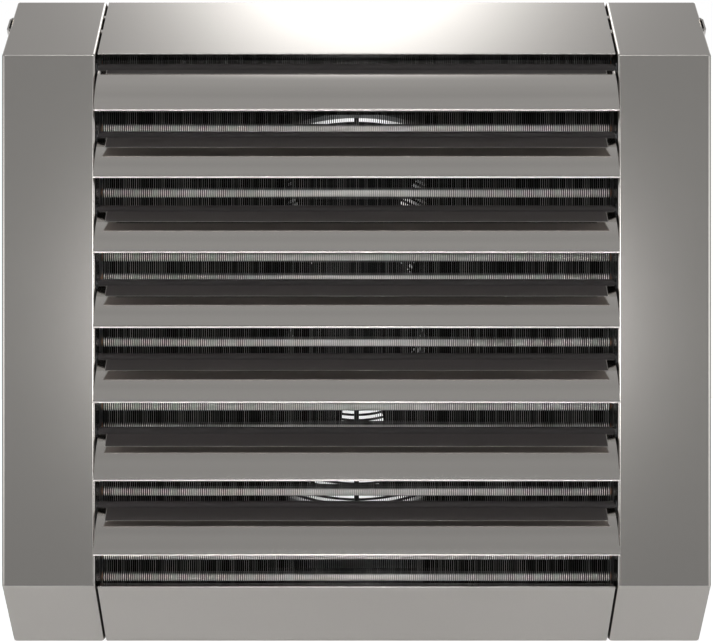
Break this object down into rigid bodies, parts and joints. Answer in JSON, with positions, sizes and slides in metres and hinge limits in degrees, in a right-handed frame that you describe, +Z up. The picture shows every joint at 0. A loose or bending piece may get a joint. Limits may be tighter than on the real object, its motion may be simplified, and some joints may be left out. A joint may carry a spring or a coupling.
{
  "type": "ceiling mounted fan heater",
  "caption": "Ceiling hung hot-water fan heater: folded stainless casing, adjustable louvres, finned tube coil, axial fan with ring guard at the rear.",
  "frame": {"origin": "centre of the four ceiling fixings, on the top face of the casing", "axes": "+Z up, -Y out of the louvred front, +X to the right seen from the front"},
  "size_m": [0.716, 0.3365, 0.665],
  "materials": {
    "stainless_sheet": "bright satin stainless steel sheet, nearly a mirror where it is folded",
    "galvanised_sheet": "plain galvanised steel sheet, faint spangle",
    "zinc_fastener": "zinc plated steel",
    "bush_plastic": "black acetal",
    "fin_aluminium": "thin plain aluminium fins",
    "tube_copper": "drawn copper tube, slightly dulled",
    "header_steel": "steel tube, black primer",
    "brass_plug": "turned brass",
    "black_rubber": "moulded rubber",
    "guard_black": "black powder coat on steel wire",
    "rotor_black": "black coat on steel sheet",
    "motor_casting": "die-cast aluminium",
    "motor_iron": "laminated and turned steel",
    "terminal_plastic": "grey moulded plastic",
    "gland_plastic": "black moulded plastic"
  },
  "bodies": {
    "casing": {"casing_side_left": "stainless_sheet", "casing_side_right": "stainless_sheet", "casing_top_panel": "stainless_sheet", "casing_bottom_panel": "stainless_sheet", "rear_panel": "galvanised_sheet", "fan_inlet_ring": "galvanised_sheet", "hanger_loop_left": "stainless_sheet", "hanger_loop_right": "stainless_sheet", "ceiling_rivet_nuts": "zinc_fastener", "casing_screws": "zinc_fastener", "louvre_bushes": "bush_plastic", "coil_fin_pack": "fin_aluminium", "coil_end_plate_left": "galvanised_sheet", "coil_end_plate_right": "galvanised_sheet", "coil_frame_top": "galvanised_sheet", "coil_frame_bottom": "galvanised_sheet", "coil_hairpin_tubes": "tube_copper", "coil_return_bends": "tube_copper", "supply_header": "header_steel", "return_header": "header_steel", "supply_connection": "header_steel", "return_connection": "header_steel", "header_plugs": "brass_plug", "pipe_grommets": "black_rubber", "fan_guard_frame": "guard_black", "fan_guard_rings": "guard_black", "guard_screws": "zinc_fastener", "motor_flange": "motor_casting", "motor_screws": "zinc_fastener", "stator_core": "motor_iron", "stator_winding": "tube_copper", "motor_bearings": "motor_iron", "terminal_box_base": "terminal_plastic", "terminal_box_lid": "terminal_plastic", "terminal_box_screws": "zinc_fastener", "cable_gland_body": "gland_plastic", "cable_gland_nut": "gland_plastic"},
    "impeller": {"motor_shaft": "motor_iron", "rotor_can": "rotor_black", "rotor_cage": "motor_iron", "fan_blade_1": "rotor_black", "fan_blade_2": "rotor_black", "fan_blade_3": "rotor_black", "fan_blade_4": "rotor_black", "fan_blade_5": "rotor_black"},
    "louvre_1": {"louvre_blade_1": "stainless_sheet", "louvre_pins_1": "zinc_fastener"},
    "louvre_2": {"louvre_blade_2": "stainless_sheet", "louvre_pins_2": "zinc_fastener"},
    "louvre_3": {"louvre_blade_3": "stainless_sheet", "louvre_pins_3": "zinc_fastener"},
    "louvre_4": {"louvre_blade_4": "stainless_sheet", "louvre_pins_4": "zinc_fastener"},
    "louvre_5": {"louvre_blade_5": "stainless_sheet", "louvre_pins_5": "zinc_fastener"},
    "louvre_6": {"louvre_blade_6": "stainless_sheet", "louvre_pins_6": "zinc_fastener"},
    "louvre_7": {"louvre_blade_7": "stainless_sheet", "louvre_pins_7": "zinc_fastener"}
  },
  "joints": [
    {"name": "fan_spin", "type": "hinge", "parent": "casing", "child": "impeller", "pos_m": [0, 0.06, -0.325], "axis": [0, 1, 0], "continuous": true},
    {"name": "louvre_1_tilt", "type": "hinge", "parent": "casing", "child": "louvre_1", "pos_m": [0, -0.152, -0.0799], "axis": [-1, 0, 0], "range_deg": [-37.4, 52.6]},
    {"name": "louvre_2_tilt", "type": "hinge", "parent": "casing", "child": "louvre_2", "pos_m": [0, -0.152, -0.1477], "axis": [-1, 0, 0], "range_deg": [-40.1, 49.9]},
    {"name": "louvre_3_tilt", "type": "hinge", "parent": "casing", "child": "louvre_3", "pos_m": [0, -0.152, -0.2219], "axis": [-1, 0, 0], "range_deg": [-40.9, 49.1]},
    {"name": "louvre_4_tilt", "type": "hinge", "parent": "casing", "child": "louvre_4", "pos_m": [0, -0.152, -0.2961], "axis": [-1, 0, 0], "range_deg": [-41.8, 48.2]},
    {"name": "louvre_5_tilt", "type": "hinge", "parent": "casing", "child": "louvre_5", "pos_m": [0, -0.152, -0.3703], "axis": [-1, 0, 0], "range_deg": [-42.7, 47.3]},
    {"name": "louvre_6_tilt", "type": "hinge", "parent": "casing", "child": "louvre_6", "pos_m": [0, -0.152, -0.4445], "axis": [-1, 0, 0], "range_deg": [-38.8, 51.2]},
    {"name": "louvre_7_tilt", "type": "hinge", "parent": "casing", "child": "louvre_7", "pos_m": [0, -0.152, -0.5187], "axis": [-1, 0, 0], "range_deg": [-40.6, 49.4]}
  ]
}
